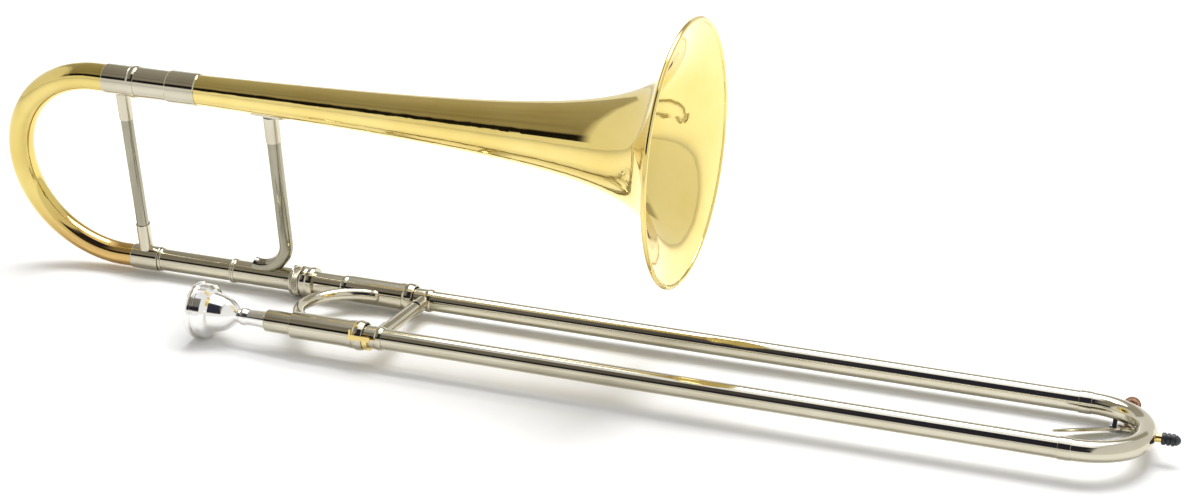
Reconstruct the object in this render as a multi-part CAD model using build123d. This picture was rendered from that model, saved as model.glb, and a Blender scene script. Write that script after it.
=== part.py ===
from build123d import *
import math
import os

# A small-bore alto trombone, slide closed, lying on its mouthpiece rim, bell lock nut and water key.
# It is drawn in the slide's own frame: X runs along the slide towards the bow, the bell-side (far) slide
# tube lies on the X axis, the mouthpiece-side (near) tube is at -Y, and x = 0 is the face of the bell
# lock joint. The whole instrument is then tilted about X until it stands on the floor, and moved so that
# its origin is the bottom centre of its bounding box. All sizes are in mm.

# ---- Overall sizes ----
SLIDE_END = 500.0           # where the outer slide tubes meet the bow
SLIDE_SPREAD = 78.3         # between the two slide tubes
BELL_SPREAD = 133.5         # between the neckpipe and the bell
BELL_LEAN = 103.7           # degrees from the slide plane up to the bell plane
BELL_RIM_X = 257.0
BELL_RIM_R = 82.5
BELL_STEM_R = 9.9           # bell where it leaves its ferrule
CROOK_X = -134.0            # where the tuning crook meets its ferrules
BORE_R = 5.65               # air column through the slide

# ---- Fits ----
SOLDER = 0.01               # gap left by each soldered or pressed joint
RUNNING = 0.05              # radial clearance of pins and turning fits
SLIDE_CLEARANCE = 0.06      # inner slide's stockings in the outer slide
LEG_CLEARANCE = 0.06        # tuning slide's legs in their sleeves
FACE_GAP = 0.1              # between faces that meet end to end and turn

# ---- Slide tubes ----
INNER_WALL = 0.35
INNER_R = BORE_R + INNER_WALL
INNER_END = SLIDE_END - 5.0
STOCKING_R = INNER_R + 0.14     # swollen end of the inner tube, the only part that touches the outer one
STOCKING_STEP = 3.0
STOCKING_LENGTH = 100.0
OUTER_WALL = 0.3
OUTER_IN_R = STOCKING_R + SLIDE_CLEARANCE
OUTER_R = OUTER_IN_R + OUTER_WALL
OUTER_INSET = 3.5           # how far the outer tubes reach into the bow's ferrules

# ---- Outer slide's sleeves, and the cork barrels that they park in ----
SLEEVE_R = OUTER_R + 0.6
SLEEVE_RIGHT = 83.0
SLEEVE_DEPTH = 10.5         # how far a sleeve stands inside its barrel
SLEEVE_RING_LENGTH = 4.5
SLEEVE_RING_R = SLEEVE_R + 0.4
BARREL_END = 70.7
BARREL_LEFT = {"near": 21.0, "far": 24.0}
BARREL_WALL = 0.6
BARREL_ROOM = 0.8           # between a sleeve and the barrel round it
BARREL_R = SLEEVE_R + BARREL_ROOM + BARREL_WALL
BARREL_EDGE = 0.4
BARREL_CAP = 4.5
BEAD_LENGTH = 11.0
BEAD_MOUTH = 7.0            # the rounded part of the bead
BEAD_STEP = 0.35
BEAD_R = BARREL_R + 1.0
CUSHION_LENGTH = 16.0
CUSHION_GAP = 0.3           # between the cushion and the parked slide

# ---- Mouthpiece, its receiver and the leadpipe behind it ----
SHANK_MOUTH_R = BORE_R - 0.1    # shank where it enters the receiver
SHANK_TAPER = 0.025             # radius lost per mm of shank
SHANK_CLEARANCE = 0.04
SHANK_TIP_GAP = 0.4
RECEIVER_LEFT = 3.0
RECEIVER_R = SHANK_MOUTH_R + 1.45
RIM_R = 18.0
CUP_R = 12.4
CUP_DEPTH = 23.0
THROAT_R = 2.9
BACKBORE_R = 4.2
MOUTHPIECE_LENGTH = 68.5
RIM_PROFILE = (             # outside of the rim, as distance from its face and radius
    (4.6, RIM_R), (5.2, RIM_R - 1.4), (6.2, RIM_R - 1.4), (6.8, RIM_R - 0.7), (11.0, RIM_R - 1.0),
    (13.4, RIM_R - 3.2), (14.6, CUP_R + 0.5))
BOWL_PROFILE = ((18.3, CUP_R - 0.3), (22.4, CUP_R - 1.5), (26.9, CUP_R - 4.1), (31.0, SHANK_MOUTH_R - 1.2))
THROAT_BEAD = (             # bead between the bowl and the shank
    (31.8, SHANK_MOUTH_R - 1.2), (33.6, SHANK_MOUTH_R - 0.1), (35.2, SHANK_MOUTH_R + 0.1),
    (37.0, SHANK_MOUTH_R - 0.1), (38.6, SHANK_MOUTH_R - 0.6))
LEADPIPE_LENGTH = 160.0
LEADPIPE_R = BORE_R - 0.7
LEADPIPE_EDGE = 0.25

# ---- Bell lock joint ----
TENON_R = INNER_R + 1.6
TENON_RING_LENGTH = 4.0
FAR_TUBE_LEFT = BARREL_LEFT["far"] - 19.0
TAPER_LENGTH = 30.0
TAPER_TIP_R = BORE_R + 0.95
TAPER_ROOT_R = TAPER_TIP_R + 0.25
NECKPIPE_R = TAPER_ROOT_R + 0.65
NECKPIPE_WALL = 0.6
NECKPIPE_STEP = 0.5         # ledge behind the taper's tip
NECKPIPE_LEFT = -59.1
THREAD_R = NECKPIPE_R + 1.3
THREAD_LENGTH = 9.5
COLLAR_LENGTH = 4.5
COLLAR_R = THREAD_R - 0.2
NUT_LENGTH = 16.2
NUT_LIP = 1.4
NUT_CLEARANCE = 0.1
NUT_BAND_R = THREAD_R + 0.8
NUT_BEAD_R = NUT_BAND_R + 0.7
NUT_BEADS = ((0.0, 1.4, NUT_BEAD_R - 0.2), (7.2, 11.2, NUT_BEAD_R - 0.3), (11.2, NUT_LENGTH, NUT_BEAD_R))

# ---- Bell section ----
TUBE_WALL = 0.45
LOWER_SLEEVE_R = NECKPIPE_R - 0.3
LOWER_SLEEVE_LEFT = -114.0
UPPER_SLEEVE_R = BELL_STEM_R - 0.05
UPPER_SLEEVE_LEFT = -115.5
BAND_LENGTH = 1.6           # half of the neck ring
BAND_RISE = 0.7             # how far the trim rings stand out
BELL_FERRULE_LEFT = -88.0
BELL_FERRULE_R = BELL_STEM_R + 0.7
FERRULE_EDGE = 0.3
BELL_STEM_X = -67.3         # where the bell leaves its ferrule
BELL_STEM_DEPTH = 16.0      # how far the bell's stem sits in its ferrule
BELL_WALL = 0.5
FLARE_POWER = 0.64          # how late the bell opens
FLARE_STEPS = 18
RIM_BEAD_R = 1.6
RIM_WIRE_R = 1.0
RIM_BEAD_BACK = 0.2

# ---- Tuning slide ----
CROOK_LOWER_R = LOWER_SLEEVE_R + 0.4
CROOK_UPPER_R = UPPER_SLEEVE_R - 0.8
CROOK_WALL = 0.5
CROOK_STRAIGHT = 8.0
CROOK_SOCKET = 7.0          # how deep the crook sits in its ferrules
LOWER_FERRULE_R = CROOK_LOWER_R + 0.6
UPPER_FERRULE_R = CROOK_UPPER_R + 0.7
FERRULE_GAP = 0.4           # between a crook ferrule and the sleeve it stops against
LEG_WALL = 0.4
LOWER_LEG_RIGHT = -66.0
UPPER_LEG_RIGHT = -71.0

# ---- Braces ----
BRACE_WALL = 0.8
SOCKET_RISE = 0.6           # how much a brace's socket is thicker than its tube
TUNING_BRACE_X = -124.5
TUNING_BRACE_R = 4.1
TUNING_SOCKET_LENGTH = 19.0
BELL_BRACE_X = -19.0
BELL_BRACE_R = 4.6
BELL_BRACE_BEND = 20.0
BELL_BRACE_TURN = 105.0     # degrees, until the tube runs into the neckpipe
BELL_SOCKET_LENGTH = 18.0
FLANGE_R = 12.5
FLANGE_HALF_WIDTH = 7.8
FLANGE_THICK = 1.0
HAND_BRACE_X = 77.5
HAND_BRACE_R = 4.3
HAND_SOCKET_LENGTH = 11.0
ARCH_R = 0.4368 * SLIDE_SPREAD
ARCH_TUBE_R = 4.0
ARCH_END_X = 44.8           # where the arch runs alongside the far barrel
ARCH_SINK = 1.5             # how far the arch's line lies inside the far barrel there
ARCH_TURN = 150.0           # degrees, until the tube runs into the far barrel

# ---- Slide bow and bumper ----
BOW_FERRULE_LEFT = SLIDE_END - 1.0
BOW_X = BOW_FERRULE_LEFT + 7.5      # ferrules' right ends, where the bends start
BOW_FERRULE_R = OUTER_R + 0.4
BOW_FERRULE_EDGE = 0.12
BOW_CORNER_R = 0.4598 * SLIDE_SPREAD
BOW_JOINT = SLIDE_END + OUTER_INSET + SOLDER
CROWN_X = BOW_X + BOW_CORNER_R
STEM_R = 2.6
STEM_LENGTH = 2.8
STEM_ROOT = 3.0             # the part of the stem that is shaped to the bow
PEG_R = STEM_R - 1.0
PEG_LENGTH = 6.0
BUMPER_R = 3.7
BUMPER_LENGTH = 11.0
RIB_PITCH = 2.6
RIB_COUNT = 3
RIB_DEPTH = 0.7

# ---- Water key ----
KEY_REACH = 0.625 * BOW_CORNER_R    # from the bend's start to the middle of the nipple and the key's arm
KEY_X = BOW_X + KEY_REACH
NIPPLE_R = 3.2
DRAIN_R = 1.6
NIPPLE_ROOT = -BOW_CORNER_R + math.sqrt(BOW_CORNER_R**2 - KEY_REACH**2)
NIPPLE_FACE = -BOW_CORNER_R + math.sqrt((BOW_CORNER_R + OUTER_R) ** 2 - KEY_REACH**2) + 2.45
CORK_R = 4.6
CORK_THICK = 4.0
CORK_SEAT = 0.03            # clearance under the closed cork
KEY_CUP_R = 5.2
KEY_CUP_THICK = 1.2
PIVOT_Y = NIPPLE_ROOT - 2.08
PIVOT_Z = -OUTER_R - 2.8
PIN_R = 0.9
PIN_HEAD_R = 1.9
PIN_HEAD_LENGTH = 1.2
PIN_SLOT = (0.9, 5.0, 0.5)
KEY_BARREL_R = 2.0
KEY_ARM_R = OUTER_R + 8.5
KEY_ARM_WIDTH = 5.0
KEY_PLATE = 1.3
POST_WIDTH = 2.6
POST_GAP = 0.3
SPRING_COIL_R = 2.05
SPRING_WIRE_R = 0.28
SPRING_PITCH = 0.68
SPRING_TURNS = 3
SPRING_SPACE = 3.2
TOUCH_LENGTH = 43.0
TOUCH_WIDTH = 10.0
TOUCH_NECK = 11.0
TOUCH_TURN = 29.0           # degrees that the finger touch points back from the slide's line
TOUCH_TILT = 17.0           # degrees that its near edge is raised

# ---- Slide lock ----
LOCK_X = 71.2
LOCK_WIDTH = 3.2
LOCK_IN_R = SLEEVE_R + RUNNING
LOCK_R = SLEEVE_R + 1.5
LOCK_FROM = 150.0           # degrees round the tube, from +Y up through +Z
LOCK_TO = 330.0
HOOK_ANGLE = 170.0
HOOK_LIFT = 0.4             # clearance of the hook over the barrel's bead
HOOK_THICK = 1.3
HOOK_WIDTH = 3.0
HOOK_REACH = 9.5
HOOK_TAIL = 3.0             # the bar's end past the band
HOOK_LAP = 0.8              # how far the hook's foot runs into the band
TOOTH_LENGTH = 3.2
TOOTH_WIDTH = 1.5
STUD_ANGLE = 126.0
STUD_R = 1.0
STUD_HEIGHT = 2.0
STUD_GAP = 0.5

NUT_LEFT = -NUT_LENGTH - FACE_GAP
NECKPIPE_RIGHT = -THREAD_LENGTH - 2 * FACE_GAP
TUBE_Y = {"near": -SLIDE_SPREAD, "far": 0.0}
REST_TILT = -math.degrees(math.asin((RIM_R - NUT_BEAD_R) / SLIDE_SPREAD))

parts = {}


# ---- Ways of drawing pieces along the tubes ----
def turned(points, y=0.0, z=0.0):
    """Solid of revolution about a line parallel to X, from (x, radius) corners of its half-section."""
    section = make_face(Polyline(*points, close=True))
    return Pos(0, y, z) * revolve(section, Axis.X, 360)


def pipe(x0, x1, outer, inner, y=0.0, z=0.0):
    return turned([(x0, inner), (x1, inner), (x1, outer), (x0, outer)], y, z)


def rod(x0, x1, radius, y=0.0, z=0.0):
    return Pos((x0 + x1) / 2, y, z) * Cylinder(radius, x1 - x0, rotation=(0, 90, 0))


def round_ring(x0, x1, bore, crest, y=0.0, z=0.0):
    """A ring with a rounded outside."""
    edge = crest - min(0.35 * (x1 - x0), 0.5 * (crest - bore))
    sides = Polyline((x0, edge), (x0, bore), (x1, bore), (x1, edge))
    crown = ThreePointArc((x1, edge), ((x0 + x1) / 2, crest), (x0, edge))
    return Pos(0, y, z) * revolve(make_face([sides, crown]), Axis.X, 360)


def collar(radius, length):
    """The socket round the end of a brace of that radius, along Z."""
    return Cylinder(radius + SOCKET_RISE, length) - Cylinder(radius + SOLDER, length)


def biggest(shape):
    """The main solid of a piece, without the offcuts that trimming leaves inside its neighbours."""
    return max(shape.solids(), key=lambda solid: solid.volume)


def upright(shape):
    """Turns a piece drawn with the bell straight above the neckpipe to the bell's real lean."""
    return Rot(BELL_LEAN - 90, 0, 0) * shape


def about_near_tube(degrees, shape):
    """Places a piece, drawn on the +Y side of the X axis, round the mouthpiece-side tube."""
    return Pos(0, TUBE_Y["near"], 0) * Rot(degrees, 0, 0) * shape


# ---- Inner slide: tubes, cork barrels and the cushions inside them ----
def inner_tube(x0, y):
    step = INNER_END - STOCKING_LENGTH
    outside = [(step, INNER_R), (step + STOCKING_STEP, STOCKING_R), (INNER_END, STOCKING_R)]
    return turned([(x0, BORE_R), (x0, INNER_R), *outside, (INNER_END, BORE_R)], y)


def cork_barrel(x0, y):
    inside = BARREL_R - BARREL_WALL
    neck = INNER_R + SOLDER
    bead = BARREL_END - BEAD_LENGTH + 1
    mouth = BARREL_END - BEAD_MOUTH
    shell = turned([
        (x0, neck), (x0, BARREL_R - BARREL_EDGE), (x0 + BARREL_EDGE, BARREL_R), (bead, BARREL_R),
        (bead, inside), (x0 + BARREL_CAP, inside), (x0 + BARREL_CAP, neck)], y)
    band = pipe(bead, mouth, BARREL_R + BEAD_STEP, inside, y)
    return shell + band + round_ring(mouth, BARREL_END, inside, BEAD_R, y)


def barrel_cushion(y):
    right = BARREL_END - SLEEVE_DEPTH - CUSHION_GAP
    return pipe(right - CUSHION_LENGTH, right, BARREL_R - BARREL_WALL - RUNNING, INNER_R + RUNNING, y)


parts["inner_tube_near"] = inner_tube(BARREL_LEFT["near"] + SOLDER, TUBE_Y["near"])
parts["inner_tube_far"] = inner_tube(FAR_TUBE_LEFT, TUBE_Y["far"])
for side, y in TUBE_Y.items():
    parts[f"cork_barrel_{side}"] = cork_barrel(BARREL_LEFT[side], y)
    parts[f"barrel_cushion_{side}"] = barrel_cushion(y)
barrels = [rod(0, BARREL_END, BARREL_R + SOLDER, y) for y in TUBE_Y.values()]

# ---- Mouthpiece receiver and leadpipe ----
receiver_right = BARREL_LEFT["near"]
socket_mouth = SHANK_MOUTH_R + SHANK_CLEARANCE
socket_end = socket_mouth - SHANK_TAPER * (receiver_right - RECEIVER_LEFT)
parts["mouthpiece_receiver"] = turned([
    (RECEIVER_LEFT, socket_mouth), (RECEIVER_LEFT, RECEIVER_R - 0.3), (RECEIVER_LEFT + 0.5, RECEIVER_R),
    (receiver_right, RECEIVER_R), (receiver_right, socket_end)], TUBE_Y["near"])
lead_left = receiver_right + SOLDER
lead_right = receiver_right + LEADPIPE_LENGTH
lead_outside = BORE_R - SOLDER
parts["leadpipe"] = turned([
    (lead_left, LEADPIPE_R + 0.2), (lead_left, lead_outside), (lead_right, lead_outside),
    (lead_right, BORE_R - LEADPIPE_EDGE), (receiver_right + LEADPIPE_LENGTH / 4, LEADPIPE_R)], TUBE_Y["near"])

# ---- Arched brace: one circular bend from the near barrel, which ends round against the far one ----
arch_y = ARCH_SINK - BARREL_R
arch_end = Pos(ARCH_END_X, arch_y, 0)
arch_section = Plane.XZ * (Circle(ARCH_TUBE_R) - Circle(ARCH_TUBE_R - BRACE_WALL))
arch = revolve(
    arch_end * Rot(0, 0, 90) * arch_section, Axis((ARCH_END_X, arch_y - ARCH_R, 0), (0, 0, 1)), ARCH_TURN)
ball = Sphere(ARCH_TUBE_R) - Sphere(ARCH_TUBE_R - BRACE_WALL)
arch += arch_end * (ball & Pos(ARCH_TUBE_R, 0, 0) * Box(2 * ARCH_TUBE_R, 2 * ARCH_TUBE_R, 2 * ARCH_TUBE_R))
parts["inner_slide_brace"] = biggest(arch - barrels)

# ---- Bell tenon: the tapered plug and thread at the end of the far inner tube ----
taper_tip = NECKPIPE_RIGHT - TAPER_LENGTH
taper_root = NECKPIPE_RIGHT + FACE_GAP
tenon_right = BARREL_LEFT["far"]
tube_seat = FAR_TUBE_LEFT - 0.2
parts["bell_tenon"] = turned([
    (taper_tip, BORE_R), (taper_tip, TAPER_TIP_R), (taper_root, TAPER_ROOT_R), (taper_root, THREAD_R),
    (-FACE_GAP, THREAD_R), (-FACE_GAP, TENON_R), (tenon_right, TENON_R), (tenon_right, INNER_R + SOLDER),
    (tube_seat, INNER_R + SOLDER), (tube_seat, BORE_R)])
parts["tenon_ring"] = round_ring(
    tenon_right - TENON_RING_LENGTH, tenon_right - SOLDER, TENON_R + SOLDER, TENON_R + BAND_RISE)

# ---- Mouthpiece ----
shank_tip = receiver_right - SHANK_TIP_GAP
rim_x = shank_tip - MOUTHPIECE_LENGTH
tip_r = SHANK_MOUTH_R - SHANK_TAPER * (shank_tip - RECEIVER_LEFT)
throat_x = rim_x + CUP_DEPTH + 3
rim_band = Polyline(*[(rim_x + x, radius) for x, radius in RIM_PROFILE])
bowl = Spline(*[(rim_x + x, radius) for x, radius in (RIM_PROFILE[-1], *BOWL_PROFILE)])
shank = Polyline(
    *[(rim_x + x, radius) for x, radius in (BOWL_PROFILE[-1], *THROAT_BEAD)],
    (RECEIVER_LEFT, SHANK_MOUTH_R), (shank_tip, tip_r), (shank_tip, BACKBORE_R), (throat_x + 5, THROAT_R),
    (throat_x, THROAT_R))
cup = Spline(
    (throat_x, THROAT_R), (rim_x + CUP_DEPTH - 2, 0.5 * CUP_R), (rim_x + 13.0, 0.88 * CUP_R),
    (rim_x + 2.2, CUP_R))
lip = Spline(
    (rim_x + 2.2, CUP_R), (rim_x + 0.4, CUP_R + 1.4), (rim_x, 0.5 * (CUP_R + RIM_R)),
    (rim_x + 1.0, RIM_R - 0.9), (rim_x + 2.8, RIM_R), (rim_x + 4.6, RIM_R))
mouthpiece_section = make_face([rim_band, bowl, shank, cup, lip])
parts["mouthpiece"] = Pos(0, TUBE_Y["near"], 0) * revolve(mouthpiece_section, Axis.X, 360)

# ---- Outer slide: tubes, sleeves and bow ferrules ----
sleeve_left = BARREL_END - SLEEVE_DEPTH
ring_left = SLEEVE_RIGHT - SLEEVE_RING_LENGTH
sleeve_bore = OUTER_R + SOLDER
for side, y in TUBE_Y.items():
    parts[f"outer_tube_{side}"] = pipe(sleeve_left, SLIDE_END + OUTER_INSET, OUTER_R, OUTER_IN_R, y)
    parts[f"slide_sleeve_{side}"] = pipe(sleeve_left, ring_left, SLEEVE_R, sleeve_bore, y) + round_ring(
        ring_left, SLEEVE_RIGHT, sleeve_bore, SLEEVE_RING_R, y)
    parts[f"bow_ferrule_{side}"] = turned([
        (BOW_FERRULE_LEFT, sleeve_bore), (BOW_FERRULE_LEFT, BOW_FERRULE_R - BOW_FERRULE_EDGE),
        (BOW_FERRULE_LEFT + BOW_FERRULE_EDGE, BOW_FERRULE_R), (BOW_X - BOW_FERRULE_EDGE, BOW_FERRULE_R),
        (BOW_X, BOW_FERRULE_R - BOW_FERRULE_EDGE), (BOW_X, sleeve_bore)], y)

# ---- Hand brace, with a socket against each sleeve ----
across = Pos(HAND_BRACE_X, -SLIDE_SPREAD / 2, 0) * Rot(90, 0, 0)
sleeves = [rod(0, 2 * HAND_BRACE_X, SLEEVE_RING_R + SOLDER, y) for y in TUBE_Y.values()]
hand_tube = Cylinder(HAND_BRACE_R, SLIDE_SPREAD) - Cylinder(HAND_BRACE_R - BRACE_WALL, SLIDE_SPREAD)
parts["hand_brace"] = biggest(across * hand_tube - sleeves)
socket_offset = SLIDE_SPREAD / 2 - SLEEVE_R - HAND_SOCKET_LENGTH / 2
for side, sign in (("near", 1), ("far", -1)):
    socket = across * Pos(0, 0, sign * socket_offset) * collar(HAND_BRACE_R, HAND_SOCKET_LENGTH)
    parts[f"hand_brace_socket_{side}"] = biggest(socket - sleeves)


# ---- Slide bow ----
def bow(outer, inner=0.0):
    """The bow, hollow or as a solid bar: straight ends, two quarter bends and the crown between them."""
    section = Circle(outer) - Circle(inner) if inner else Circle(outer)
    start = Plane(origin=(BOW_X, 0, 0), x_dir=(0, 1, 0), z_dir=(1, 0, 0)) * section
    bend = revolve(start, Axis((BOW_X, -BOW_CORNER_R, 0), (0, 0, -1)), 90)
    half = bend + extrude(start, BOW_JOINT - BOW_X)
    crown = Pos(CROWN_X, TUBE_Y["near"] / 2, 0) * Rot(90, 0, 0) * extrude(
        section, SLIDE_SPREAD / 2 - BOW_CORNER_R, both=True)
    return half + crown + Pos(0, TUBE_Y["near"], 0) * mirror(half, Plane.XZ)


around_bow = bow(OUTER_R + SOLDER)
nipple_height = NIPPLE_FACE - NIPPLE_ROOT
nipple_place = Pos(KEY_X, (NIPPLE_ROOT + NIPPLE_FACE) / 2, 0)
drain = nipple_place * Cylinder(DRAIN_R, nipple_height, rotation=(90, 0, 0))
parts["slide_bow"] = bow(OUTER_R, OUTER_IN_R) - drain
nipple = nipple_place * Cylinder(NIPPLE_R, nipple_height, rotation=(90, 0, 0)) - around_bow - drain
parts["water_nipple"] = max(nipple.solids(), key=lambda solid: solid.center().Y)

# ---- Bumper: a stem on the bow's crown with a ribbed rubber tip pushed over its peg ----
mid_y = TUBE_Y["near"] / 2
stem_left = CROWN_X + OUTER_R
bumper_left = stem_left + STEM_LENGTH
stem = rod(stem_left - STEM_ROOT, bumper_left, STEM_R, mid_y) + rod(
    bumper_left, bumper_left + PEG_LENGTH, PEG_R, mid_y)
parts["bumper_stem"] = stem - around_bow
outline = [(bumper_left, BUMPER_R - 0.5)]
for rib in range(RIB_COUNT):
    x = bumper_left + 0.6 + RIB_PITCH * rib
    outline += [(x, BUMPER_R), (x + 1.6, BUMPER_R)]
    outline += [(x + 2.0, BUMPER_R - RIB_DEPTH), (x + 2.2, BUMPER_R - RIB_DEPTH)]
tip_x = bumper_left + BUMPER_LENGTH
outline += [(tip_x - 2.4, BUMPER_R - 0.4), (tip_x - 0.8, BUMPER_R - 1.6), (tip_x, 1.0), (tip_x, 0.0)]
hole_end = bumper_left + PEG_LENGTH + 0.2
hole_r = PEG_R + SOLDER
outline += [(hole_end, 0.0), (hole_end, hole_r), (bumper_left, hole_r)]
parts["bumper_rubber"] = turned(outline, mid_y)

# ---- Water key: places along its pin ----
arm_left = KEY_X - KEY_ARM_WIDTH / 2
arm_right = KEY_X + KEY_ARM_WIDTH / 2
coil_left = arm_left - SPRING_SPACE
post_lefts = (coil_left - POST_GAP - POST_WIDTH, arm_right + POST_GAP)
pin_left = post_lefts[0] - PIN_HEAD_LENGTH
head_right = post_lefts[0] - 0.02


def on_pivot(x0, x1, radius):
    return rod(x0, x1, radius, PIVOT_Y, PIVOT_Z)


pin = on_pivot(head_right, post_lefts[1] + POST_WIDTH, PIN_R) + on_pivot(pin_left, head_right, PIN_HEAD_R)
parts["water_key_pin"] = pin - Pos(pin_left, PIVOT_Y, PIVOT_Z) * Box(*PIN_SLOT)


def saddle_post(left):
    """One post of the saddle: an eye on the pin and a web up to the underside of the bow."""
    x = left + POST_WIDTH / 2
    tube_y = -BOW_CORNER_R + math.sqrt(BOW_CORNER_R**2 - (x - BOW_X) ** 2)
    run = tube_y - PIVOT_Y
    web = Box(POST_WIDTH, 2 * KEY_BARREL_R, math.hypot(run, PIVOT_Z))
    lean = Rot(-math.degrees(math.atan2(run, -PIVOT_Z)), 0, 0)
    post = on_pivot(left, left + POST_WIDTH, KEY_BARREL_R) + Pos(
        x, (PIVOT_Y + tube_y) / 2, PIVOT_Z / 2) * lean * web
    hole = on_pivot(left - 1, left + POST_WIDTH + 1, PIN_R + SOLDER)
    return min((post - around_bow - hole).solids(), key=lambda solid: solid.center().Z)


parts["water_key_saddle"] = Compound([saddle_post(left) for left in post_lefts])
coil_path = Helix(pitch=SPRING_PITCH, height=SPRING_PITCH * SPRING_TURNS, radius=SPRING_COIL_R)
coil = sweep(Plane(coil_path @ 0, z_dir=coil_path % 0) * Circle(SPRING_WIRE_R), path=coil_path)
coil_start = coil_left + (SPRING_SPACE - SPRING_PITCH * SPRING_TURNS) / 2
parts["water_key_spring"] = Pos(coil_start, PIVOT_Y, PIVOT_Z) * Rot(0, 90, 0) * coil

# ---- Water key: cork, pad cup, bent arm, barrel on the pin and finger touch ----
cork_top = NIPPLE_FACE + CORK_THICK
cork_face = NIPPLE_FACE + CORK_SEAT
cup_back = cork_top + KEY_CUP_THICK


def on_nipple(y0, y1, radius):
    return Pos(KEY_X, (y0 + y1) / 2, 0) * Cylinder(radius, y1 - y0, rotation=(90, 0, 0))


parts["water_key_cork"] = on_nipple(cork_face, cork_top, CORK_R)
# The arm is an arc of strip through the pivot and the back of the pad cup, which passes under the tube.
foot = Vector(PIVOT_Y, PIVOT_Z)
pad = Vector(cup_back + KEY_PLATE / 2, 0)
chord = pad - foot
sag = math.sqrt(KEY_ARM_R**2 - (chord.length / 2) ** 2)
centre = (foot + pad) * 0.5 + Vector(-chord.Y, chord.X).normalized() * sag
strip = Plane.YZ * (Pos(centre.X, centre.Y) * (
    Circle(KEY_ARM_R + KEY_PLATE / 2) - Circle(KEY_ARM_R - KEY_PLATE / 2)))
below = foot.Y - KEY_ARM_R / 2
beside = pad.X + KEY_ARM_R / 4
under_tube = Plane.YZ * make_face(Polyline(
    (centre.X, centre.Y), (foot.X, foot.Y), (foot.X, below), (beside, below), (beside, 0.0), close=True))
half_width = KEY_ARM_WIDTH / 2
bar = extrude(strip, half_width, dir=(1, 0, 0), both=True)
arm = Pos(KEY_X, 0, 0) * (bar & extrude(under_tube, half_width, dir=(1, 0, 0), both=True))
arm -= on_nipple(NIPPLE_ROOT, cork_top, CORK_R + SOLDER)
spool = on_pivot(coil_left, arm_left, SPRING_COIL_R - SPRING_WIRE_R - 2 * RUNNING)
key_barrel = on_pivot(arm_left, arm_right, KEY_BARREL_R) + spool
leaf = Pos(-TOUCH_LENGTH / 2 - 3, 0, 0) * extrude(Ellipse(TOUCH_LENGTH / 2, TOUCH_WIDTH / 2), KEY_PLATE)
neck = Pos(-TOUCH_NECK / 2, 0, KEY_PLATE / 2) * Box(TOUCH_NECK, KEY_ARM_WIDTH - 0.6, KEY_PLATE)
touch = Pos(KEY_X, PIVOT_Y - 0.6, PIVOT_Z + 0.35) * Rot(0, 0, TOUCH_TURN) * Rot(-TOUCH_TILT, 0, 0) * (
    leaf + neck)
touch -= on_pivot(pin_left - 2, arm_left - SOLDER, KEY_BARREL_R + 0.7)
lever = key_barrel + arm + on_nipple(cork_top, cup_back, KEY_CUP_R) + touch
parts["water_key_lever"] = lever - on_pivot(coil_left - 1, arm_right + 1, PIN_R + RUNNING)

# ---- Slide lock: a spring clip on the near sleeve, whose hook reaches over the barrel's bead to a stud ----
lock_right = LOCK_X + LOCK_WIDTH
mid_angle = (LOCK_FROM + LOCK_TO) / 2
wedge_r = 2 * LOCK_R
wedge = make_face(Polyline((0, 0), *[
    (wedge_r * math.cos(math.radians(angle)), wedge_r * math.sin(math.radians(angle)))
    for angle in (LOCK_FROM, mid_angle - 30, mid_angle + 30, LOCK_TO)], close=True))
clip = pipe(LOCK_X, lock_right, LOCK_R, LOCK_IN_R) & extrude(Plane.YZ * wedge, 2 * lock_right, dir=(1, 0, 0))
hook_left = LOCK_X + LOCK_WIDTH / 2 - HOOK_REACH
hook_in = BEAD_R + HOOK_LIFT
hook_middle = hook_in + HOOK_THICK / 2
hook_right = lock_right + HOOK_TAIL
hook = Pos((hook_left + hook_right) / 2, hook_middle, 0) * Box(hook_right - hook_left, HOOK_THICK, HOOK_WIDTH)
tooth = Pos(hook_left + TOOTH_WIDTH / 2, hook_middle, -TOOTH_LENGTH / 2) * Box(
    TOOTH_WIDTH, HOOK_THICK, HOOK_WIDTH + TOOTH_LENGTH)
foot_height = hook_in + HOOK_THICK - LOCK_R + HOOK_LAP
riser = Pos(LOCK_X + LOCK_WIDTH / 2, hook_in + HOOK_THICK - foot_height / 2, 0) * Box(
    LOCK_WIDTH, foot_height, HOOK_WIDTH)
parts["slide_lock"] = Pos(0, TUBE_Y["near"], 0) * (clip + Rot(HOOK_ANGLE, 0, 0) * (hook + tooth + riser))
stud_x = hook_left + TOOTH_WIDTH + STUD_GAP + STUD_R
stud = Pos(stud_x, BEAD_R + STUD_HEIGHT / 2 - 0.6, 0) * Cylinder(STUD_R, STUD_HEIGHT + 1.2, rotation=(90, 0, 0))
parts["lock_stud"] = about_near_tube(STUD_ANGLE, stud) - rod(0, BARREL_END, BEAD_R + SOLDER, TUBE_Y["near"])

# ---- Lock nut ----
thread_room = THREAD_R + NUT_CLEARANCE
pipe_room = NECKPIPE_R + NUT_CLEARANCE
nut = turned([
    (NUT_LEFT, pipe_room), (NUT_LEFT, NUT_BAND_R), (-FACE_GAP, NUT_BAND_R), (-FACE_GAP, thread_room),
    (NUT_LEFT + NUT_LIP, thread_room), (NUT_LEFT + NUT_LIP, pipe_room)])
for left, right, crest in NUT_BEADS:
    nut += round_ring(NUT_LEFT + left, NUT_LEFT + right, NUT_BAND_R - 0.3, crest)
parts["lock_nut"] = nut

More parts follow.
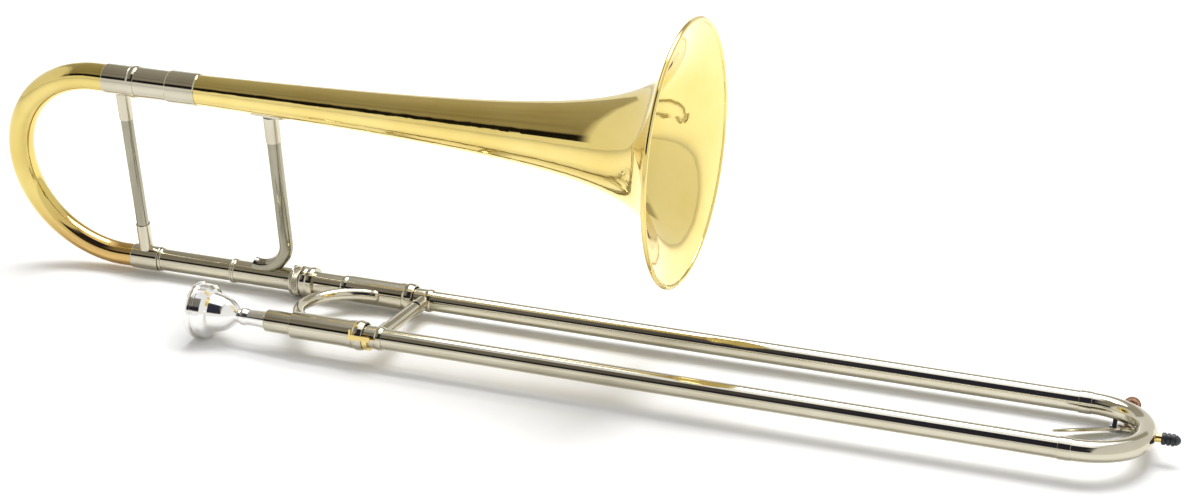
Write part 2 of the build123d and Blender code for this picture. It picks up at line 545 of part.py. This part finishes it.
# ---- Bell section: neckpipe and the lower sleeve ----
bore_step = NECKPIPE_R - NECKPIPE_WALL - NECKPIPE_STEP
socket_tip = taper_tip - 0.3
parts["neckpipe"] = turned([
    (NECKPIPE_LEFT, bore_step), (NECKPIPE_LEFT, NECKPIPE_R), (NECKPIPE_RIGHT, NECKPIPE_R),
    (NECKPIPE_RIGHT, TAPER_ROOT_R + RUNNING), (socket_tip, TAPER_TIP_R + RUNNING), (socket_tip, bore_step)])
parts["neckpipe_collar"] = pipe(NECKPIPE_RIGHT - COLLAR_LENGTH, NECKPIPE_RIGHT, COLLAR_R, NECKPIPE_R + SOLDER)
lower_in = LOWER_SLEEVE_R - TUBE_WALL
lower_right = NECKPIPE_LEFT - SOLDER
parts["lower_sleeve"] = pipe(LOWER_SLEEVE_LEFT, lower_right, LOWER_SLEEVE_R, lower_in)
parts["lower_sleeve_ring"] = round_ring(
    LOWER_SLEEVE_LEFT, LOWER_SLEEVE_LEFT + 1.8, LOWER_SLEEVE_R + SOLDER, LOWER_SLEEVE_R + BAND_RISE)
neck_crest = NECKPIPE_R + BAND_RISE
parts["neck_ring"] = round_ring(
    NECKPIPE_LEFT - BAND_LENGTH, lower_right, LOWER_SLEEVE_R + SOLDER, neck_crest) + round_ring(
    lower_right, NECKPIPE_LEFT + BAND_LENGTH, NECKPIPE_R + SOLDER, neck_crest)

# ---- Bell section: upper sleeve and the bell's ferrule ----
upper_in = UPPER_SLEEVE_R - TUBE_WALL
stub_left = BELL_STEM_X - BELL_STEM_DEPTH
parts["upper_sleeve"] = upright(pipe(
    UPPER_SLEEVE_LEFT, stub_left - SOLDER, UPPER_SLEEVE_R, upper_in, 0, BELL_SPREAD))
parts["upper_sleeve_ring"] = upright(round_ring(
    UPPER_SLEEVE_LEFT, UPPER_SLEEVE_LEFT + 4.4, UPPER_SLEEVE_R + SOLDER, UPPER_SLEEVE_R + 0.65, 0, BELL_SPREAD))
edge_r = BELL_FERRULE_R - FERRULE_EDGE
parts["bell_ferrule"] = upright(turned([
    (BELL_FERRULE_LEFT, UPPER_SLEEVE_R + SOLDER), (BELL_FERRULE_LEFT, edge_r),
    (BELL_FERRULE_LEFT + 0.5, BELL_FERRULE_R), (BELL_STEM_X - 0.5, BELL_FERRULE_R), (BELL_STEM_X, edge_r),
    (BELL_STEM_X, BELL_STEM_R + SOLDER), (stub_left, BELL_STEM_R + SOLDER),
    (stub_left, UPPER_SLEEVE_R + SOLDER)], 0, BELL_SPREAD))

# ---- Bell: a sheet of even thickness, with its rim rolled over a wire ----
sheet_r = BELL_RIM_R - RIM_BEAD_R
flare_lead = (BELL_RIM_X - BELL_STEM_X) / ((sheet_r / BELL_STEM_R) ** (1 / FLARE_POWER) - 1)


def bell_radius(x):
    return sheet_r * ((BELL_RIM_X - x + flare_lead) / flare_lead) ** -FLARE_POWER


def bell_point(x, depth):
    """A point at the given depth under the bell's outside, measured square to it."""
    steep = math.atan(FLARE_POWER * bell_radius(x) / (BELL_RIM_X - x + flare_lead))
    return (x + depth * math.sin(steep), bell_radius(x) - depth * math.cos(steep))


stations = [
    BELL_RIM_X - (BELL_RIM_X - BELL_STEM_X) * (1 - step / FLARE_STEPS) ** 2 for step in range(FLARE_STEPS + 1)]
outer_edge = Spline(*[bell_point(x, 0) for x in stations])
inner_edge = Spline(*[bell_point(x, BELL_WALL) for x in stations])
stub_in = BELL_STEM_R - BELL_WALL
sheet_section = make_face([
    outer_edge, inner_edge, Line(outer_edge @ 1, inner_edge @ 1),
    Polyline(outer_edge @ 0, (stub_left, BELL_STEM_R), (stub_left, stub_in), inner_edge @ 0)])


def rim_ring(radius):
    return revolve(Pos(BELL_RIM_X - RIM_BEAD_BACK, sheet_r - 0.1) * Circle(radius), Axis.X, 360)


bell = revolve(sheet_section, Axis.X, 360) + rim_ring(RIM_BEAD_R) - rim_ring(RIM_WIRE_R + SOLDER)
parts["bell"] = upright(Pos(0, 0, BELL_SPREAD) * bell)
parts["bell_rim_wire"] = upright(Pos(0, 0, BELL_SPREAD) * rim_ring(RIM_WIRE_R))


# ---- Bell brace: a tube that bends into the neckpipe, a socket and a flange shaped to the bell ----
def bell_cone(x0, x1, lift, bore=None):
    """The bell's outside between two places, raised by lift, as a solid or as a shell down to bore."""
    inside = [(x0, 0), (x1, 0)]
    if bore is not None:
        inside = [(x0, bell_radius(x0) + bore), (x1, bell_radius(x1) + bore)]
    crest = [(x1, bell_radius(x1) + lift), (x0, bell_radius(x0) + lift)]
    return turned([*inside, *crest], 0, BELL_SPREAD)


flange_left = BELL_BRACE_X - FLANGE_R - 1
flange_right = BELL_BRACE_X + FLANGE_R + 1
flange_disc = Pos(BELL_BRACE_X, 0, BELL_SPREAD / 2) * Cylinder(FLANGE_R, BELL_SPREAD)
under_bell = Pos(BELL_BRACE_X, 0, BELL_SPREAD - 12) * Box(4 * FLANGE_R, 2 * FLANGE_HALF_WIDTH, 22)
flange_shell = bell_cone(flange_left, flange_right, FLANGE_THICK, SOLDER)
parts["bell_brace_flange"] = upright(flange_shell & flange_disc & under_bell)
brace_room = bell_cone(flange_left - 9, flange_right + 9, FLANGE_THICK + SOLDER)
brace_top = BELL_SPREAD - bell_radius(BELL_BRACE_X)
bend_z = NECKPIPE_R + BELL_BRACE_BEND
brace_section = Pos(BELL_BRACE_X, 0, bend_z) * (Circle(BELL_BRACE_R) - Circle(BELL_BRACE_R - BRACE_WALL))
brace = revolve(
    brace_section, Axis((BELL_BRACE_X - BELL_BRACE_BEND, 0, bend_z), (0, 1, 0)), BELL_BRACE_TURN)
brace += extrude(brace_section, brace_top - bend_z)
brace -= [brace_room, rod(taper_tip - TAPER_LENGTH, 0, NECKPIPE_R + SOLDER)]
parts["bell_brace"] = upright(biggest(brace))
socket_middle = brace_top - 1 - BELL_SOCKET_LENGTH / 2
bell_socket = Pos(BELL_BRACE_X, 0, socket_middle) * collar(BELL_BRACE_R, BELL_SOCKET_LENGTH)
parts["bell_brace_socket"] = upright(bell_socket - brace_room)

# ---- Tuning slide: legs and ferrules ----
lower_leg_r = lower_in - LEG_CLEARANCE
upper_leg_r = min(upper_in, stub_in) - LEG_CLEARANCE
ferrule_step = CROOK_X + CROOK_SOCKET


def leg(right, radius, z):
    return upright(pipe(ferrule_step + SOLDER, right, radius, radius - LEG_WALL, 0, z))


def crook_ferrule(right, outside, crook_r, leg_r, z):
    return upright(turned([
        (CROOK_X, crook_r + SOLDER), (CROOK_X, outside - 0.2), (CROOK_X + 0.4, outside),
        (right - 0.4, outside), (right, outside - 0.2), (right, leg_r + SOLDER),
        (ferrule_step, leg_r + SOLDER), (ferrule_step, crook_r + SOLDER)], 0, z))


parts["tuning_leg_lower"] = leg(LOWER_LEG_RIGHT, lower_leg_r, 0)
parts["tuning_leg_upper"] = leg(UPPER_LEG_RIGHT, upper_leg_r, BELL_SPREAD)
parts["crook_ferrule_lower"] = crook_ferrule(
    LOWER_SLEEVE_LEFT - FERRULE_GAP, LOWER_FERRULE_R, CROOK_LOWER_R, lower_leg_r, 0)
parts["crook_ferrule_upper"] = crook_ferrule(
    UPPER_SLEEVE_LEFT - FERRULE_GAP, UPPER_FERRULE_R, CROOK_UPPER_R, upper_leg_r, BELL_SPREAD)

# ---- Tuning slide: crook ----
bend_x = CROOK_X - CROOK_STRAIGHT
crook_bend_r = BELL_SPREAD / 2
crook_path = ThreePointArc((bend_x, 0, 0), (bend_x - crook_bend_r, 0, crook_bend_r), (bend_x, 0, BELL_SPREAD))


def crook_bar(lower_r, upper_r):
    """The crook as a solid bar that widens evenly round the bend towards the bell."""
    lower_face = Plane(origin=(bend_x, 0, 0), z_dir=(-1, 0, 0)) * Circle(lower_r)
    upper_face = Plane(origin=(bend_x, 0, BELL_SPREAD), z_dir=(1, 0, 0)) * Circle(upper_r)
    bend = sweep(sections=[lower_face.face(), upper_face.face()], path=crook_path, multisection=True)
    return bend + rod(bend_x, ferrule_step, lower_r) + rod(bend_x, ferrule_step, upper_r, 0, BELL_SPREAD)


crook_bore = crook_bar(CROOK_LOWER_R - CROOK_WALL, CROOK_UPPER_R - CROOK_WALL)
parts["tuning_crook"] = upright(crook_bar(CROOK_LOWER_R, CROOK_UPPER_R) - crook_bore)

# ---- Tuning slide: brace with its two sockets ----
ferrules = [
    rod(bend_x, UPPER_LEG_RIGHT, LOWER_FERRULE_R + SOLDER),
    rod(bend_x, UPPER_LEG_RIGHT, UPPER_FERRULE_R + SOLDER, 0, BELL_SPREAD)]
tuning_tube = Cylinder(TUNING_BRACE_R, BELL_SPREAD) - Cylinder(TUNING_BRACE_R - BRACE_WALL, BELL_SPREAD)
tuning_brace = Pos(TUNING_BRACE_X, 0, BELL_SPREAD / 2) * tuning_tube - ferrules
parts["tuning_brace"] = upright(biggest(tuning_brace))
socket_reach = TUNING_SOCKET_LENGTH / 2 - 1
socket_heights = {
    "lower": LOWER_FERRULE_R + socket_reach, "upper": BELL_SPREAD - UPPER_FERRULE_R - socket_reach}
for end, z in socket_heights.items():
    socket = Pos(TUNING_BRACE_X, 0, z) * collar(TUNING_BRACE_R, TUNING_SOCKET_LENGTH) - ferrules
    parts[f"tuning_brace_socket_{end}"] = upright(biggest(socket))

# ---- Settled on the floor, with the origin at the bottom centre of the whole instrument ----
settled = {name: Rot(REST_TILT, 0, 0) * shape for name, shape in parts.items()}
whole = Compound(list(settled.values())).bounding_box()
base = Vector(whole.center().X, whole.center().Y, whole.min.Z)
print("lock joint in the row frame:", [round(-value, 4) for value in base])

os.makedirs("parts", exist_ok=True)
for name, shape in settled.items():
    export_step(Pos(-base) * shape, f"parts/{name}.step")
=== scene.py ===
import math

import bmesh
import bpy
from mathutils import Matrix, Vector


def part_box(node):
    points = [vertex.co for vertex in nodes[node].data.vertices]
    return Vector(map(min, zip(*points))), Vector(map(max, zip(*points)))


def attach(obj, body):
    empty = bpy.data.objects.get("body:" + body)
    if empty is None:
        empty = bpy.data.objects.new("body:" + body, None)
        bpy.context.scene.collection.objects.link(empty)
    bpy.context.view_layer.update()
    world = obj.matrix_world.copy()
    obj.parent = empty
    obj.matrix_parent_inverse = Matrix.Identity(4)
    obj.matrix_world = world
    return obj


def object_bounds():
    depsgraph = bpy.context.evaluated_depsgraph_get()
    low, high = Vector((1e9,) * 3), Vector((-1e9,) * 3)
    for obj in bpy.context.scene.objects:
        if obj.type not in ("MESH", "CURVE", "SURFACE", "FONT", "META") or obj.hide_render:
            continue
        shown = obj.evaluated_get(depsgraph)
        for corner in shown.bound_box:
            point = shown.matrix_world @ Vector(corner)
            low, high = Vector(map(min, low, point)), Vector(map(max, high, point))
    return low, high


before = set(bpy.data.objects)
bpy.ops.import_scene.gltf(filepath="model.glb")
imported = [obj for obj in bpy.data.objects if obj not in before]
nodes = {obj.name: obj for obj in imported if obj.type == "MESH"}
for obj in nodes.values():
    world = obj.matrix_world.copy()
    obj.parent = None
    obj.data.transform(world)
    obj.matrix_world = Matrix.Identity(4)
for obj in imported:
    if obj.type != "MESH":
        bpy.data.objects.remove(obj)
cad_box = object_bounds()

scene = bpy.context.scene
scene.view_settings.view_transform = "Standard"
scene.view_settings.look = "None"


# ---------------------------------------------------------------- camera
NUT_FACE_GAP = 0.0001   # between the lock nut's right face and the bell lock joint
CAMERA_FROM_JOINT = Vector((0.6659, -1.3526, 0.6732))
LOOK = Vector((-0.3103, 0.8631, -0.3983)).normalized()
RIGHT = Vector((0.9407, 0.3391, 0.0020)).normalized()
UP = RIGHT.cross(LOOK).normalized()

nut_low, nut_high = (Vector(corner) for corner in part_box("lock_nut"))
nut_middle = (nut_low + nut_high) / 2
lock_joint = Vector((nut_high.x + NUT_FACE_GAP, nut_middle.y, nut_middle.z))

camera_data = bpy.data.cameras.new("camera")
camera_data.sensor_width = 36.0
camera_data.lens = 75.1
camera_data.shift_x = 0.0213
camera_data.clip_start = 0.05
camera = bpy.data.objects.new("camera", camera_data)
turned = Matrix((RIGHT, UP, -LOOK)).transposed().to_4x4()
camera.matrix_world = Matrix.Translation(CAMERA_FROM_JOINT + lock_joint) @ turned
scene.collection.objects.link(camera)
scene.camera = camera


# ---------------------------------------------------------------- node helpers
MIX_A, MIX_B, MIX_COLOUR = 6, 7, 2      # a Mix node's colour sockets


class Graph:
    """Builds a node tree. Each value given is a number, a colour or another node's output."""

    def __init__(self, tree):
        self.tree = tree

    def add(self, kind, **values):
        made = self.tree.nodes.new(kind)
        for key, value in values.items():
            if key in made.inputs:
                self.put(made.inputs[key], value)
            else:
                setattr(made, key, value)
        return made

    def put(self, socket, value):
        if isinstance(value, bpy.types.NodeSocket):
            self.tree.links.new(value, socket)
        else:
            socket.default_value = value

    def math(self, operation, a, b=0.0):
        made = self.tree.nodes.new("ShaderNodeMath")
        made.operation = operation
        self.put(made.inputs[0], a)
        self.put(made.inputs[1], b)
        return made.outputs[0]

    def times(self, a, b):
        return self.math("MULTIPLY", a, b)

    def plus(self, a, b):
        return self.math("ADD", a, b)

    def mix(self, factor, a, b):
        made = self.tree.nodes.new("ShaderNodeMix")
        made.data_type = "RGBA"
        self.put(made.inputs["Factor"], factor)
        self.put(made.inputs[MIX_A], a)
        self.put(made.inputs[MIX_B], b)
        return made.outputs[MIX_COLOUR]

    def span(self, value, low, high, to_low=0.0, to_high=1.0, smooth=False):
        made = self.tree.nodes.new("ShaderNodeMapRange")
        made.interpolation_type = "SMOOTHSTEP" if smooth else "LINEAR"
        for socket, given in zip(made.inputs[:5], (value, low, high, to_low, to_high)):
            self.put(socket, given)
        return made.outputs[0]

    def noise(self, vector, scale, detail=3.0, roughness=0.55):
        made = self.tree.nodes.new("ShaderNodeTexNoise")
        self.put(made.inputs["Vector"], vector)
        made.inputs["Scale"].default_value = scale
        made.inputs["Detail"].default_value = detail
        made.inputs["Roughness"].default_value = roughness
        return made.outputs[0]

    def bump(self, height, strength, distance):
        made = self.add("ShaderNodeBump", Height=height)
        made.inputs["Strength"].default_value = strength
        made.inputs["Distance"].default_value = distance
        return made.outputs["Normal"]

    def stretched(self, vector, factors):
        made = self.tree.nodes.new("ShaderNodeMapping")
        self.put(made.inputs["Vector"], vector)
        made.inputs["Scale"].default_value = factors
        return made.outputs[0]


def colour(red, green, blue):
    return (red, green, blue, 1.0)


def new_material(name):
    """A new material with its node graph, its shader and the coordinates of the CAD."""
    made = bpy.data.materials.new(name)
    made.use_nodes = True
    graph = Graph(made.node_tree)
    shader = made.node_tree.nodes["Principled BSDF"]
    place = graph.add("ShaderNodeTexCoord").outputs["Object"]
    return made, graph, shader, place


LINE_SHARE = 0.012      # how much the polishing lines change the roughness, up or down


def polished_metal(name, base, tarnish, roughness, handling, lines, coat=0.0, painted_low_reflection=None):
    """A polished metal with clouded colour, finger smears and fine polishing lines along the tubes.

    handling is the roughness that smears add, and lines the depth of the polishing lines. The last argument
    gives two heights and a colour, which the metal takes below the first and loses towards the second: a
    painted dark reflection on the low part.
    """
    made, graph, shader, place = new_material(name)
    cloud = graph.noise(place, 22.0, 4.0)
    tone = graph.mix(graph.span(cloud, 0.42, 0.72), colour(*base), colour(*tarnish))
    # Painted dark reflection: below the given heights the metal turns to a darker, warmer colour.
    if painted_low_reflection:
        low, high, reflection_tone = painted_low_reflection
        height = graph.add("ShaderNodeSeparateXYZ", Vector=place).outputs["Z"]
        wavy = graph.plus(height, graph.span(graph.noise(place, 30.0), 0.0, 1.0, -0.012, 0.012))
        tone = graph.mix(graph.span(wavy, low, high, 0.75, 0.0, smooth=True), tone, colour(*reflection_tone))
    graph.put(shader.inputs["Base Color"], tone)
    shader.inputs["Metallic"].default_value = 1.0
    smear = graph.span(graph.noise(graph.stretched(place, (1.0, 2.4, 2.4)), 38.0, 5.0, 0.65), 0.46, 0.74)
    along = graph.noise(graph.stretched(place, (0.06, 1.0, 1.0)), 2600.0, 2.0)
    rough = graph.plus(graph.span(smear, 0.0, 1.0, roughness, roughness + handling),
                       graph.span(along, 0.3, 0.7, -LINE_SHARE, LINE_SHARE))
    graph.put(shader.inputs["Roughness"], graph.math("MAXIMUM", rough, 0.02))
    shader.inputs["Coat Weight"].default_value = coat
    shader.inputs["Coat Roughness"].default_value = 0.04
    wave = graph.noise(place, 95.0, 2.0)
    relief = graph.plus(graph.times(wave, 0.6), graph.times(along, lines * 0.1))
    graph.put(shader.inputs["Normal"], graph.bump(relief, 0.06, 0.0004))
    return made


lacquered_brass = polished_metal(
    "lacquered_brass", (0.83, 0.665, 0.24), (0.77, 0.59, 0.18), 0.05, 0.06, 0.2, coat=0.15)
# The crook is the lacquered brass painted darker, with a warm brown low part: both are painted dark
# reflection.
crook_brass_painted_dark = polished_metal(
    "crook_brass_painted_dark", (0.74, 0.59, 0.20), (0.66, 0.50, 0.14), 0.055, 0.07, 0.2, coat=0.15,
    painted_low_reflection=(0.015, 0.05, (0.62, 0.38, 0.14)))
bright_brass = polished_metal("bright_brass", (0.90, 0.70, 0.28), (0.80, 0.58, 0.20), 0.09, 0.10, 0.5)
nickel_silver = polished_metal("nickel_silver", (0.60, 0.56, 0.44), (0.52, 0.475, 0.355), 0.07, 0.07, 0.35)
dull_nickel = polished_metal("dull_nickel", (0.50, 0.465, 0.37), (0.38, 0.345, 0.26), 0.24, 0.14, 1.0)
hard_plate = polished_metal("hard_plate", (0.66, 0.64, 0.58), (0.58, 0.56, 0.49), 0.07, 0.06, 0.3)
silver_plate = polished_metal("silver_plate", (0.93, 0.92, 0.90), (0.86, 0.84, 0.80), 0.09, 0.09, 0.2)
# Nickel silver painted darker for the two braces: a painted dark reflection, not the metal's own tone.
braces_painted_dark_nickel = polished_metal("braces_painted_dark_nickel", (0.36, 0.34, 0.26), (0.27, 0.25, 0.18), 0.08, 0.10, 0.35)
steel = polished_metal("steel", (0.50, 0.49, 0.47), (0.33, 0.31, 0.28), 0.22, 0.16, 1.0)


def moulded_rubber():
    """Black rubber with a fine grain and dust in it."""
    made, graph, shader, place = new_material("moulded_rubber")
    dust = graph.span(graph.noise(place, 420.0, 4.0), 0.5, 0.8)
    tone = graph.mix(dust, colour(0.012, 0.013, 0.018), colour(0.05, 0.052, 0.062))
    graph.put(shader.inputs["Base Color"], tone)
    graph.put(shader.inputs["Roughness"], graph.span(dust, 0.0, 1.0, 0.38, 0.62))
    shader.inputs["Sheen Weight"].default_value = 0.12
    graph.put(shader.inputs["Normal"], graph.bump(graph.noise(place, 1800.0, 3.0), 0.35, 0.0003))
    return made


def cut_cork():
    """Cork, with cells and darker patches."""
    made, graph, shader, place = new_material("cut_cork")
    cells = graph.add("ShaderNodeTexVoronoi", Vector=place)
    cells.inputs["Scale"].default_value = 900.0
    grain = cells.outputs["Distance"]
    patch = graph.noise(place, 380.0, 4.0)
    tone = graph.mix(graph.span(patch, 0.35, 0.65), colour(0.42, 0.22, 0.12), colour(0.25, 0.115, 0.06))
    tone = graph.mix(graph.span(grain, 0.45, 0.8, 0.0, 0.6), tone, colour(0.10, 0.045, 0.025))
    graph.put(shader.inputs["Base Color"], tone)
    graph.put(shader.inputs["Roughness"], graph.span(grain, 0.0, 1.0, 0.62, 0.85))
    graph.put(shader.inputs["Normal"], graph.bump(graph.plus(grain, patch), 0.6, 0.0003))
    return made


rubber = moulded_rubber()
cork = cut_cork()

# The metal or material of each CAD node that isn't plain nickel silver.
BY_NODE = {
    "bell": lacquered_brass, "bell_rim_wire": lacquered_brass,
    # The crook takes the brass that is painted darker as a dark reflection.
    "tuning_crook": crook_brass_painted_dark,
    "slide_lock": bright_brass, "lock_stud": bright_brass,
    "bumper_stem": bright_brass, "leadpipe": bright_brass,
    "mouthpiece": silver_plate,
    "inner_tube_near": hard_plate, "inner_tube_far": hard_plate,
    "tuning_leg_lower": hard_plate, "tuning_leg_upper": hard_plate,
    # The braces take the nickel that is painted darker as a dark reflection.
    "tuning_brace": braces_painted_dark_nickel, "bell_brace": braces_painted_dark_nickel,
    "water_key_pin": steel, "water_key_spring": steel,
    "bumper_rubber": rubber,
    "water_key_cork": cork, "barrel_cushion_near": cork, "barrel_cushion_far": cork,
}


def dress(obj, material):
    obj.data.materials.clear()
    obj.data.materials.append(material)


for name, node in nodes.items():
    dress(node, BY_NODE.get(name, nickel_silver))


# ---------------------------------------------------------------- knurled band of the lock nut
KNURL_LEFT = 0.0016         # the band's ends, from the nut's left face
KNURL_RIGHT = 0.0070
KNURL_SINK = 0.0004         # how far the band's middle radius lies inside the nut's beads
KNURL_TEETH = 60
KNURL_DEPTH = 0.0003
GRID_STEPS = 4              # faces across one tooth


def object_from(name, mesh):
    """An object in the scene made of a bmesh, which it frees."""
    data = bpy.data.meshes.new(name)
    mesh.to_mesh(data)
    mesh.free()
    made = bpy.data.objects.new(name, data)
    scene.collection.objects.link(made)
    return made


def knurled_band(name, centre, x0, x1, radius, teeth, depth):
    """A ring with a diamond knurl that fades at both ends, about a line parallel to X."""
    pitch = 2 * math.pi * radius / teeth
    across = max(GRID_STEPS, round((x1 - x0) / pitch) * GRID_STEPS)
    around = teeth * GRID_STEPS
    mesh = bmesh.new()
    grid = []
    for i in range(across + 1):
        share = i / across
        lean = share * across / GRID_STEPS
        edge = min(1.0, 4 * min(share, 1 - share))
        row = []
        for j in range(around):
            turn = j / around
            first, second = turn * teeth + lean, turn * teeth - lean
            crest = min(abs(first - round(first)), abs(second - round(second))) * 2
            reach = radius + depth * (crest - 0.2) * edge
            angle = 2 * math.pi * turn
            y, z = centre[1] + reach * math.cos(angle), centre[2] + reach * math.sin(angle)
            row.append(mesh.verts.new((x0 + (x1 - x0) * share, y, z)))
        grid.append(row)
    for low_row, high_row in zip(grid, grid[1:]):
        for j in range(around):
            k = (j + 1) % around
            mesh.faces.new((low_row[j], low_row[k], high_row[k], high_row[j]))
    mesh.normal_update()
    return object_from(name, mesh)


nut_radius = (nut_high.z - nut_low.z) / 2
band = knurled_band(
    "lock_nut_knurl", nut_middle, nut_low.x + KNURL_LEFT, nut_low.x + KNURL_RIGHT, nut_radius - KNURL_SINK,
    KNURL_TEETH, KNURL_DEPTH)
dress(band, dull_nickel)
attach(band, "lock_nut")


# ---------------------------------------------------------------- floor, light and surroundings
FLOOR_HALF_SIZE = 12.0
FLOOR_DROP = 0.0001         # how far the floor lies under the object


def floor():
    """A plain pale matt floor."""
    made, graph, shader, place = new_material("floor")
    tone = graph.mix(graph.noise(place, 3.0, 2.0), colour(0.93, 0.93, 0.925), colour(0.96, 0.96, 0.955))
    graph.put(shader.inputs["Base Color"], tone)
    shader.inputs["Roughness"].default_value = 0.9
    mesh = bmesh.new()
    bmesh.ops.create_grid(mesh, x_segments=4, y_segments=4, size=FLOOR_HALF_SIZE)
    plane = object_from("floor", mesh)
    plane.location.z = cad_box[0][2] - FLOOR_DROP
    dress(plane, made)


def soft_light(name, place, target, width, height, power):
    """A rectangular lamp, in metres and watts, that faces its target."""
    data = bpy.data.lights.new(name, "AREA")
    data.shape = "RECTANGLE"
    data.size = width
    data.size_y = height
    data.energy = power
    made = bpy.data.objects.new(name, data)
    made.location = place
    made.rotation_euler = (Vector(target) - Vector(place)).to_track_quat("-Z", "Y").to_euler()
    scene.collection.objects.link(made)


def surroundings():
    """A white tent, open at its front and top to a dim room that holds a bright window and a dark patch."""
    world = bpy.data.worlds.new("tent")
    scene.world = world
    world.use_nodes = True
    graph = Graph(world.node_tree)
    ray = graph.add("ShaderNodeTexCoord").outputs["Generated"]
    x, y, z = graph.add("ShaderNodeSeparateXYZ", Vector=ray).outputs
    # The angle about the slide's line: 0 is level towards the front, 90 straight up, 180 level at the back.
    round_slide = graph.math("ARCTAN2", z, graph.times(y, -1.0))
    sideways = graph.math("ARCSINE", x)

    def between(angle, low, high, soft):
        """1 from low to high, 0 outside, and soft degrees of fade each side of both."""
        low, high, soft = math.radians(low), math.radians(high), math.radians(soft)
        rise = graph.span(angle, low - soft, low + soft)
        fall = graph.span(angle, high - soft, high + soft, 1.0, 0.0)
        return graph.times(rise, fall)

    opening = graph.times(between(round_slide, 17, 160, 1.2), between(sideways, -48, 24, 2.5))
    skirting = between(round_slide, 10, 36, 3)
    bright_window = graph.times(between(round_slide, 72, 138, 2), between(sideways, -19, 20, 6))
    dark_patch = graph.times(between(round_slide, 17, 71, 2), between(sideways, -17, 20, 6))

    murk = graph.span(graph.noise(ray, 2.6, 3.0), 0.35, 0.68)
    room = graph.mix(murk, colour(0.22, 0.20, 0.165), colour(0.36, 0.335, 0.285))
    upwards = graph.span(round_slide, math.radians(40), math.radians(150))
    room = graph.mix(upwards, room, colour(0.46, 0.435, 0.375))
    room = graph.mix(skirting, room, colour(0.010, 0.009, 0.009))
    room = graph.mix(bright_window, room, colour(1.5, 1.55, 1.7))
    room = graph.mix(dark_patch, room, colour(0.03, 0.03, 0.045))
    tent = graph.mix(graph.span(z, 0.0, 1.0), colour(0.95, 0.95, 0.93), colour(0.86, 0.86, 0.85))
    backdrop = world.node_tree.nodes["Background"]
    graph.put(backdrop.inputs["Color"], graph.mix(opening, tent, room))
    backdrop.inputs["Strength"].default_value = 1.0


floor()
soft_light("overhead", (0.0, 0.75, 1.7), (0.0, 0.0, 0.0), 1.6, 0.9, 30.0)
surroundings()
